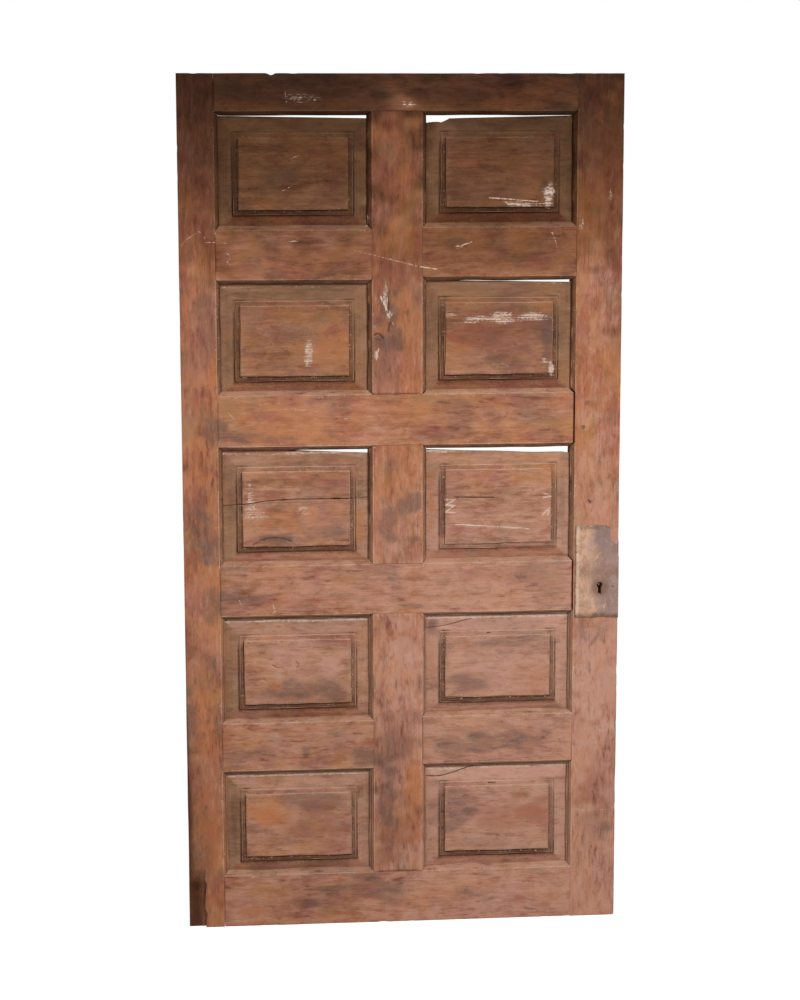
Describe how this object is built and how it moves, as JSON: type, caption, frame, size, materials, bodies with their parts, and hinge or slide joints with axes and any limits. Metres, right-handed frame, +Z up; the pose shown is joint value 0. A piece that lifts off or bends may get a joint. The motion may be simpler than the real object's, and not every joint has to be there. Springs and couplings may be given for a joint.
{
  "type": "antique wooden door leaf",
  "caption": "Old framed and panelled wooden door leaf with raised panels that have shrunk in their grooves, a nailed iron plate and a mortise lock with a sliding bolt.",
  "frame": {"origin": "middle of the leaf's bottom edge, at half its thickness", "axes": "+X across the leaf from the hinge stile to the lock stile, the front faces -Y, +Z up"},
  "size_m": [1.041, 0.047, 2.04],
  "materials": {
    "stile_wood": "old stained hardwood, grain upright, worn and dirty",
    "rail_wood": "old stained hardwood, grain across, worn and dirty",
    "panel_wood": "old stained hardwood, greyed on the bevels",
    "peg_wood": "dark end grain",
    "sheet_iron": "thin old sheet iron with worn tan paint and grey patches",
    "old_iron": "dull dark iron"
  },
  "bodies": {
    "leaf": {"left_stile": "stile_wood", "right_stile": "stile_wood", "top_rail": "rail_wood", "upper_rail_left": "rail_wood", "upper_rail_right": "rail_wood", "middle_rail": "rail_wood", "lock_rail": "rail_wood", "lower_rail_left": "rail_wood", "lower_rail_right": "rail_wood", "bottom_rail": "rail_wood", "upper_muntin": "stile_wood", "middle_muntin": "stile_wood", "lower_muntin": "stile_wood", "panel_1_left": "panel_wood", "panel_1_right": "panel_wood", "panel_2_left": "panel_wood", "panel_2_right": "panel_wood", "panel_3_left": "panel_wood", "panel_3_right": "panel_wood", "panel_4_left": "panel_wood", "panel_4_right": "panel_wood", "panel_5_left": "panel_wood", "panel_5_right": "panel_wood", "tenon_pegs": "peg_wood", "lock_plate": "sheet_iron", "plate_nails": "old_iron", "lock_case": "old_iron", "lock_cover": "old_iron", "cover_screw": "old_iron", "forend_screws": "old_iron", "key_pin": "old_iron"},
    "bolt": {"lock_bolt": "old_iron", "bolt_spring": "old_iron"}
  },
  "joints": [
    {"name": "bolt_slide", "type": "slide", "parent": "leaf", "child": "bolt", "axis": [1, 0, 0], "range_m": [0, 0.018]}
  ]
}
